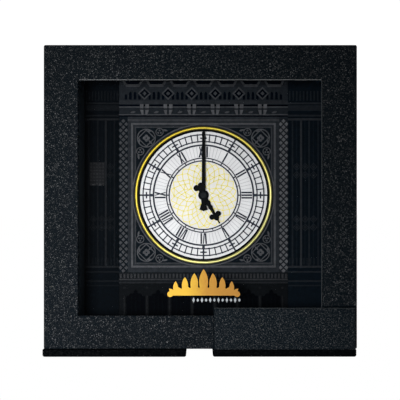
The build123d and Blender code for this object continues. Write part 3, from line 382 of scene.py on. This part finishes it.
def battery_sleeve():
    """A dark printed sleeve with steel ends and a pale band near the raised contact, on the right."""
    paint = Paint("battery_sleeve", Roughness=0.32)
    low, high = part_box("battery")
    across = paint.along("X", low.x, high.x)
    marks = paint.noise(900.0, 2.0)
    steel_end = (0.0, (0.35, 0.36, 0.38))
    sleeve = ((0.022, (0.030, 0.050, 0.120)), (0.70, (0.034, 0.056, 0.130)))
    band = ((0.72, (0.40, 0.42, 0.46)), (0.93, (0.42, 0.44, 0.48)))
    raised_contact = (0.95, (0.34, 0.35, 0.37))
    paint.colour(paint.ramp(across, steel_end, *sleeve, *band, raised_contact))
    paint.bump(marks, 0.01 * MM, 0.3)
    return paint.material


# --- the materials, one for each finish --------------------------------------------------------------
MATERIALS = {
    "case": leatherette("leatherette_case", 1.58, highlight_specks=0.9),
    "flap": leatherette("leatherette_flap", 1.9, 0.95 * MM, 0.14 * MM, highlight_specks=0.62),
    # the lip is the same leatherette at a far lower level: painted shade on the fold that turns under the
    # case
    "lip_painted_shade": leatherette("leatherette_lip_painted_shade", 0.26, 0.9 * MM, 0.1 * MM, 0.01, 0.15),
    "batten": wood("batten_black_paint", (0.0130, 0.0220, 0.0320), (0.0320, 0.0450, 0.0580), 0.8,
                   (0.1, 1.0, 1.0), 0.06),
    "pane": clear_pane(),
    "gilt": gold(),
    "foil": gilt_print(),
    "white": moulded("white_print", (0.28, 0.30, 0.32), 0.5, sheen=0.2),
    "board": moulded("facade_board", (0.0008, 0.0022, 0.0036), 0.9, sheen=0.04),
    "stone": stone("facade_stone", 0.76, SURROUND_PAINTED_DEPTH_SHADE),
    "stone_pier": stone("pier_stone", 0.55),
    "stone_pier_pale": stone("pier_stone_pale", 1.12),
    "stone_spandrel": stone("spandrel_stone", 0.80),
    "stone_top": stone("parapet_stone", 0.70, PARAPET_PAINTED_DEPTH_SHADE),
    "stone_cornice": stone("cornice_stone", 0.60),
    "stone_sill": stone("sill_stone", 0.32),
    "stone_low": stone("arcade_stone", 0.20),
    "stone_wing": stone("wing_stone", 0.30),
    "stone_wing_pale": stone("wing_stone_pale", 0.68),
    "screen": stone("screen_stone", 0.22),
    "dial": moulded("dial_white", (0.565, 0.57, 0.58), 0.6, 900.0, 0.02 * MM, 0.2),
    "cream": moulded("dial_cream", (0.575, 0.57, 0.55), 0.6, 900.0, 0.02 * MM, 0.2),
    "glazing": moulded("glazing_line", (0.32, 0.33, 0.35), 0.5, sheen=0.2),
    "lattice": moulded("lattice_line", (0.66, 0.58, 0.07), 0.6, sheen=0.1),
    # painted highlights on the turned edges of the wrap, and painted shadows beside them
    "edge": moulded("painted_edge_highlight", (0.085, 0.088, 0.090), 0.6, 1800.0, 0.05 * MM, 0.1),
    "edge_dull": moulded("painted_edge_highlight_dull", (0.026, 0.030, 0.033), 0.6, 1800.0, 0.05 * MM, 0.1),
    "joint": moulded("joint_shadow", (0.0010, 0.0022, 0.0034), 0.9, 1800.0, 0.02 * MM, 0.02),
    "line": moulded("dial_enamel", (0.020, 0.024, 0.034), 0.6, sheen=0.06),
    "hub": moulded("hand_nut_black", (0.0018, 0.0032, 0.0042), 0.5, sheen=0.04),
    "black": moulded("hand_black", (0.0006, 0.0010, 0.0014), 0.6, sheen=0.03),
    "steel": metal("plain_steel", (0.55, 0.56, 0.58), 0.34, (1.0, 1.0, 0.05)),
    "nickel": metal("nickel_plate", (0.70, 0.70, 0.70), 0.18),
    "copper": metal("copper_winding", (0.65, 0.28, 0.12), 0.35, (0.03, 0.03, 4.0)),
    "gear": moulded("acetal_white", (0.80, 0.80, 0.74), 0.35),
    "moulding": moulded("movement_black", (0.014, 0.014, 0.016), 0.45, 2600.0, 0.05 * MM),
    "circuit": moulded("circuit_green", (0.01, 0.09, 0.03), 0.35),
    "sleeve": battery_sleeve(),
    "rubber": moulded("rubber_matt", (0.012, 0.012, 0.012), 0.8),
    "pine": wood("pine_plain", (0.36, 0.22, 0.11), (0.55, 0.38, 0.20), 0.7),
    "back": moulded("backing_card", (0.014, 0.015, 0.016), 0.8, 2200.0, 0.06 * MM),
}

FINISHES = {
    "case": ["top_wall", "bottom_wall", "left_wall", "right_wall", "front_frame"],
    "flap": ["flap_board"],
    "lip_painted_shade": ["left_foot_board", "right_foot_board", "flap_hinge"],
    "batten": ["left_batten", "right_batten", "top_batten", "bottom_batten"],
    "pane": ["window_pane"],
    "gilt": ["bezel_ring"],
    "foil": ["pane_ornament"],
    "white": ["pane_caption_bar"],
    "board": ["facade_backplate"],
    "stone": ["dial_surround"],
    "stone_pier": ["left_pilaster"],
    "stone_pier_pale": ["right_pilaster"],
    "stone_spandrel": ["upper_left_spandrel", "upper_right_spandrel", "lower_left_spandrel",
                       "lower_right_spandrel"],
    "stone_top": ["parapet"],
    "stone_cornice": ["cornice"],
    "stone_sill": ["sill_band"],
    "stone_low": ["lower_arcade"],
    "stone_wing": ["left_wing"],
    "stone_wing_pale": ["right_wing"],
    "dial": ["dial_plate"],
    "cream": ["centre_panel"],
    "line": ["dial_tracery", "dial_numerals"],
    "black": ["inner_ring", "minute_hand", "hour_hand"],
    "hub": ["hand_nut"],
    "steel": ["minute_arbor", "mounting_nut", "positive_contact", "negative_contact", "back_cover_screws",
              "rotor"],
    "nickel": ["frame_magnet", "flap_magnet"],
    "copper": ["coil"],
    "gear": ["hour_wheel", "minute_wheel"],
    "moulding": ["movement_case", "movement_cover", "setting_knob"],
    "circuit": ["circuit_board"],
    "sleeve": ["battery"],
    "rubber": ["rubber_washer"],
    "pine": ["rear_corner_blocks"],
    "back": ["back_cover"],
}


def paint_frame():
    """Gives every node of the part its finish."""
    for finish, nodes in FINISHES.items():
        for node in nodes:
            mesh = frame["nodes"][node].data
            mesh.materials.clear()
            mesh.materials.append(MATERIALS[finish])


# --- pieces made here --------------------------------------------------------------------------------
def add_piece(name, shape, finish, body):
    """A finished mesh piece that rides on a body."""
    mesh = bpy.data.meshes.new(name)
    bmesh.ops.recalc_face_normals(shape, faces=shape.faces)
    shape.to_mesh(mesh)
    shape.free()
    mesh.materials.append(MATERIALS[finish])
    made = bpy.data.objects.new(name, mesh)
    bpy.context.scene.collection.objects.link(made)
    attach(made, body)


def add_prism(shape, corners, back, front):
    """Faces of a prism: corners are (x, z) places in order, from the depth back to the depth front."""
    rear = [shape.verts.new((x, back, z)) for x, z in corners]
    face = [shape.verts.new((x, front, z)) for x, z in corners]
    shape.faces.new(rear)
    shape.faces.new(face)
    count = len(corners)
    for index in range(count):
        after = (index + 1) % count
        shape.faces.new((rear[index], rear[after], face[after], face[index]))


def add_upright(shape, low, high, back, front):
    """A box with its (x, z) corners given, standing out along Y."""
    left, bottom = low
    right, top = high
    add_prism(shape, ((left, bottom), (right, bottom), (right, top), (left, top)), back, front)


def add_strip(shape, start, end, width, back, front):
    """A flat strip between two (x, z) places."""
    run = Vector(end) - Vector(start)
    side = Vector((-run.y, run.x)).normalized() * (width / 2)
    corners = (Vector(start) + side, Vector(end) + side, Vector(end) - side, Vector(start) - side)
    add_prism(shape, [tuple(corner) for corner in corners], back, front)


def on_dial(radius, degrees):
    """A place on the dial, by radius and clockwise angle from twelve."""
    angle = math.radians(degrees)
    return DIAL_X + radius * math.sin(angle), DIAL_Z + radius * math.cos(angle)


def net_rings():
    """Places of a leaded net in rings about the dial's centre, with a little unevenness."""
    rings = []
    for index, (radius, count) in enumerate(NET_RINGS):
        ring = []
        for step in range(count):
            turn = step + 0.5 * (index % 2)
            wander = 0.0 if index == len(NET_RINGS) - 1 else random.uniform(-NET_WANDER, NET_WANDER)
            angle = 360 * turn / count + random.uniform(-NET_TURN, NET_TURN) * 360 / count
            ring.append((radius + wander, angle))
        rings.append(ring)
    return rings


def add_net_line(shape, start, end):
    """One line of the net between two (radius, angle) places on the dial."""
    add_strip(shape, on_dial(*start), on_dial(*end), NET_LINE, CENTRE_FRONT, CENTRE_FRONT - NET_RELIEF)


def add_centre_lattice():
    """The leaded net over the middle of the dial: crossing lines that zigzag from ring to ring."""
    rings = net_rings()
    shape = bmesh.new()
    for inner, outer in zip(rings, rings[1:]):
        for end in outer:
            nearest = sorted(inner, key=lambda place: abs((place[1] - end[1] + 180) % 360 - 180))
            joins = 2 if len(inner) == len(outer) else 1 + int(random.random() < SECOND_JOIN_CHANCE)
            for start in nearest[:joins]:
                add_net_line(shape, start, end)
    for ring in rings[1:-1]:
        for start, end in zip(ring, ring[1:] + ring[:1]):
            if random.random() < CROSSBAR_CHANCE:
                add_net_line(shape, start, end)
    add_piece("centre_lattice", shape, "lattice", "case")


def add_chapter_glazing():
    """Fine radial glazing lines between the numerals."""
    shape = bmesh.new()
    for hour in range(12):
        for degrees in GLAZING_ANGLES:
            angle = hour * 30 + degrees
            start, end = on_dial(GLAZING_INNER_R, angle), on_dial(GLAZING_OUTER_R, angle)
            add_strip(shape, start, end, GLAZING_LINE, PLATE_FRONT, PLATE_FRONT - GLAZING_RELIEF)
    add_piece("chapter_glazing", shape, "glazing", "case")


def add_parapet_coping():
    """A raised coping along the foot and slopes of each notch between the parapet's gables."""
    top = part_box("parapet")[1].z
    foot = DIAL_Z + GABLE_FOOT
    rise = Vector((GABLE_TOP_HALF - GABLE_FOOT_HALF, top - foot))
    away = Vector((rise.y, -rise.x)).normalized() * (COPING_WIDTH / 2)
    shape = bmesh.new()
    for index in range(NOTCHES):
        x = DIAL_X + (index - (NOTCHES - 1) / 2) * NOTCH_PITCH
        reach = GABLE_FOOT_HALF + COPING_WIDTH * COPING_OVERLAP
        low = foot - COPING_WIDTH / 2
        add_strip(shape, (x - reach, low), (x + reach, low), COPING_WIDTH, WALL_FRONT, COPING_FRONT)
        for side in (-1, 1):
            start = (x + side * (GABLE_FOOT_HALF + away.x), foot + away.y)
            end = (x + side * (GABLE_TOP_HALF + away.x), top + away.y)
            add_strip(shape, start, end, COPING_WIDTH, WALL_FRONT, COPING_FRONT)
    add_piece("parapet_coping", shape, "stone_top", "case")


def add_wing_screen():
    """A small diapered screen on the left wing, with two blocks at its foot."""
    shape = bmesh.new()
    add_upright(shape, (SCREEN_LEFT, SCREEN_BOTTOM), (SCREEN_RIGHT, SCREEN_TOP), PANEL_FRONT, SCREEN_GROUND)
    step_x = (SCREEN_RIGHT - SCREEN_LEFT) / SCREEN_COLUMNS
    step_z = (SCREEN_TOP - SCREEN_BOTTOM) / SCREEN_ROWS
    half = DIAMOND_HALF
    for column in range(SCREEN_COLUMNS):
        for row in range(SCREEN_ROWS):
            x = SCREEN_LEFT + (column + 0.5) * step_x
            z = SCREEN_BOTTOM + (row + 0.5) * step_z
            diamond = ((x - half, z), (x, z - half), (x + half, z), (x, z + half))
            add_prism(shape, diamond, SCREEN_GROUND, SCREEN_FRONT)
    block_top = SCREEN_BOTTOM + BLOCK_RISE
    for place in BLOCK_PLACES:
        x = SCREEN_LEFT + place
        block = ((x - BLOCK_FOOT_HALF, SCREEN_BOTTOM), (x + BLOCK_FOOT_HALF, SCREEN_BOTTOM),
                 (x + BLOCK_TOP_HALF, block_top), (x - BLOCK_TOP_HALF, block_top))
        add_prism(shape, block, SCREEN_GROUND, BLOCK_FRONT)
    add_piece("wing_screen", shape, "screen", "case")


def add_ring(shape, centre, inner, outer, back, front, segments=48):
    """Faces of a flat ring standing out along Y, as one wedge after another."""
    x, z = centre
    for index in range(segments):
        turns = [2 * math.pi * step / segments for step in (index, index + 1)]
        corners = [(x + outer * math.cos(turn), z + outer * math.sin(turn)) for turn in turns]
        corners += [(x + inner * math.cos(turn), z + inner * math.sin(turn)) for turn in reversed(turns)]
        add_prism(shape, corners, back, front)


def add_rim(shape, low, high, width, back, front):
    """A mitred rim outside a rectangle given by its (x, z) corners."""
    x0, z0 = low
    x1, z1 = high
    inner = ((x0, z0), (x1, z0), (x1, z1), (x0, z1))
    outer = ((x0 - width, z0 - width), (x1 + width, z0 - width),
             (x1 + width, z1 + width), (x0 - width, z1 + width))
    for index in range(4):
        after = (index + 1) % 4
        add_prism(shape, (outer[index], outer[after], inner[after], inner[index]), back, front)


def add_movement_mouldings():
    """The collar round the setting knob, the rim round the battery bay and two small bosses."""
    cover_low, cover_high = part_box("movement_cover")
    battery_low, battery_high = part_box("battery")
    knob = middle("setting_knob")
    back = cover_high.y
    shape = bmesh.new()
    add_ring(shape, (knob.x, knob.z), COLLAR_INNER_R, COLLAR_OUTER_R, back, back + COLLAR_RELIEF)
    bay_low = (cover_low.x + BAY_WALL, battery_low.z - BAY_CLEAR)
    bay_high = (cover_high.x - BAY_WALL, battery_high.z + BAY_CLEAR)
    add_rim(shape, bay_low, bay_high, BAY_RIM, back, back + BAY_RIM_RELIEF)
    for side in (-1, 1):
        centre = (knob.x + side * BOSS_ASIDE, knob.z + BOSS_ABOVE)
        add_ring(shape, centre, BOSS_INNER_R, BOSS_OUTER_R, back, back + BOSS_RELIEF, segments=24)
    add_piece("movement_mouldings", shape, "moulding", "case")


def add_painted_edge_highlights():
    """Lighter strips as painted highlights on the folds where the wrap turns over an edge, and dark strips
    as painted shadows under the head and by the flap.
    """
    face = FRAME_LOW.y
    fold_front = face - EDGE_RELIEF
    shadow_front = face - EDGE_RELIEF / 2
    head_shadow_top = OPENING_TOP + HEAD_SHADOW_HEIGHT

    head = bmesh.new()
    add_upright(head, (OPENING_LEFT, head_shadow_top), (OPENING_RIGHT, head_shadow_top + EDGE_LINE), face, fold_front)
    add_piece("window_head_painted_highlight", head, "edge", "case")

    side = bmesh.new()
    side_high = (OPENING_RIGHT + DULL_LINE, OPENING_TOP)
    add_upright(side, (OPENING_RIGHT, FLAP_HIGH.z), side_high, face, fold_front)
    add_piece("window_side_painted_highlight", side, "edge_dull", "case")

    flap = bmesh.new()
    flap_high = (FLAP_HIGH.x, FLAP_HIGH.z + DULL_LINE / 2)
    add_upright(flap, (FLAP_LOW.x, FLAP_HIGH.z), flap_high, FLAP_LOW.y + EDGE_LINE, FLAP_LOW.y)
    add_piece("flap_head_painted_highlight", flap, "edge_dull", "flap")

    # painted shadows: dark strips under the head highlight, above the flap and left of it
    joint = bmesh.new()
    beside_high = (FRAME_HIGH.x - EDGE_LINE, FLAP_HIGH.z + FLAP_SHADOW_BAND)
    add_upright(joint, (OPENING_LEFT, OPENING_TOP), (OPENING_RIGHT, head_shadow_top), face, shadow_front)
    add_upright(joint, (OPENING_RIGHT, FLAP_HIGH.z), beside_high, face, shadow_front)
    add_upright(joint, (FLAP_LOW.x - DULL_LINE, FLAP_LOW.z), (FLAP_LOW.x, OPENING_BOTTOM), face, shadow_front)
    add_piece("edge_painted_shadows", joint, "joint", "case")


# --- stage -------------------------------------------------------------------------------------------
CAMERA_X = -0.2 * MM
CAMERA_HEIGHT = 89.8 * MM
CAMERA_DISTANCE = 620 * MM
VIEW_WIDTH = 229.7 * MM
SENSOR = 36.0
NEAR_CLIP = 0.01
WHITE = (1.0, 1.0, 1.0, 1.0)
SKY_FILL = 0.08
SKY_SEEN = 1.05
FLOOR_HALF = 6.0


def aim(thing, place, target):
    """Puts a camera or a lamp in its place, facing the target."""
    thing.location = place
    direction = Vector(target) - Vector(place)
    thing.rotation_euler = direction.to_track_quat("-Z", "Y").to_euler()
    bpy.context.scene.collection.objects.link(thing)


def add_camera():
    lens = bpy.data.cameras.new("camera")
    lens.sensor_width = SENSOR
    lens.lens = SENSOR * CAMERA_DISTANCE / VIEW_WIDTH
    lens.clip_start = NEAR_CLIP
    camera = bpy.data.objects.new("camera", lens)
    aim(camera, (CAMERA_X, FRAME_LOW.y - CAMERA_DISTANCE, CAMERA_HEIGHT), (CAMERA_X, 0.0, CAMERA_HEIGHT))
    bpy.context.scene.camera = camera


def add_softbox(name, place, target, size, power, spread=180.0):
    lamp = bpy.data.lights.new(name, "AREA")
    lamp.shape = "RECTANGLE"
    lamp.size = size[0]
    lamp.size_y = size[1]
    lamp.energy = power
    lamp.spread = math.radians(spread)
    aim(bpy.data.objects.new(name, lamp), place, target)


def add_world():
    """A pale studio: white where the camera looks past the floor, dimmer as a source of light."""
    world = bpy.data.worlds.new("studio")
    world.use_nodes = True
    tree = world.node_tree
    fill = tree.nodes["Background"]
    fill.inputs["Color"].default_value = WHITE
    fill.inputs["Strength"].default_value = SKY_FILL
    seen = tree.nodes.new("ShaderNodeBackground")
    seen.inputs["Color"].default_value = WHITE
    seen.inputs["Strength"].default_value = SKY_SEEN
    path = tree.nodes.new("ShaderNodeLightPath")
    either = tree.nodes.new("ShaderNodeMixShader")
    tree.links.new(path.outputs["Is Camera Ray"], either.inputs["Fac"])
    tree.links.new(fill.outputs["Background"], either.inputs[1])
    tree.links.new(seen.outputs["Background"], either.inputs[2])
    tree.links.new(either.outputs["Shader"], tree.nodes["World Output"].inputs["Surface"])
    bpy.context.scene.world = world


def add_floor():
    """A pale paper floor that reads as the same white as the backdrop but throws only soft light."""
    mesh = bpy.data.meshes.new("floor")
    shape = bmesh.new()
    bmesh.ops.create_grid(shape, x_segments=8, y_segments=8, size=FLOOR_HALF)
    shape.to_mesh(mesh)
    shape.free()
    floor = bpy.data.objects.new("floor", mesh)
    bpy.context.scene.collection.objects.link(floor)
    paint = Paint("floor_paper", Roughness=0.9, Specular_IOR_Level=0.1)
    tone = paint.noise(4.0, 2.0)
    paint.colour(paint.grey(tone, (0.3, 0.82), (0.7, 0.85)))
    seen = paint.add("ShaderNodeEmission")
    seen.inputs["Strength"].default_value = 1.0
    path = paint.add("ShaderNodeLightPath")
    either = paint.add("ShaderNodeMixShader")
    paint.join(path.outputs["Is Camera Ray"], either.inputs["Fac"])
    paint.join(paint.shader.outputs["BSDF"], either.inputs[1])
    paint.join(seen.outputs["Emission"], either.inputs[2])
    paint.join(either.outputs["Shader"], paint.tree.nodes["Material Output"].inputs["Surface"])
    mesh.materials.append(paint.material)


def add_stage():
    add_camera()
    add_world()
    add_floor()
    centre = (0.0, 0.0, 0.09)
    add_softbox("overhead", (0.0, -0.35, 1.5), centre, (1.4, 1.0), 4.4)
    add_softbox("key_left", (-0.17, -0.80, 0.08), (-0.13, -0.03, 0.0), (0.2, 0.18), 1.02, 48.0)
    add_softbox("fill_right", (1.2, -0.9, 0.6), centre, (0.9, 0.9), 0.38)
    bpy.context.scene.view_settings.view_transform = "Standard"


# --- make everything ---------------------------------------------------------------------------------
paint_frame()
add_centre_lattice()
add_chapter_glazing()
add_wing_screen()
add_parapet_coping()
add_movement_mouldings()
add_painted_edge_highlights()
add_stage()
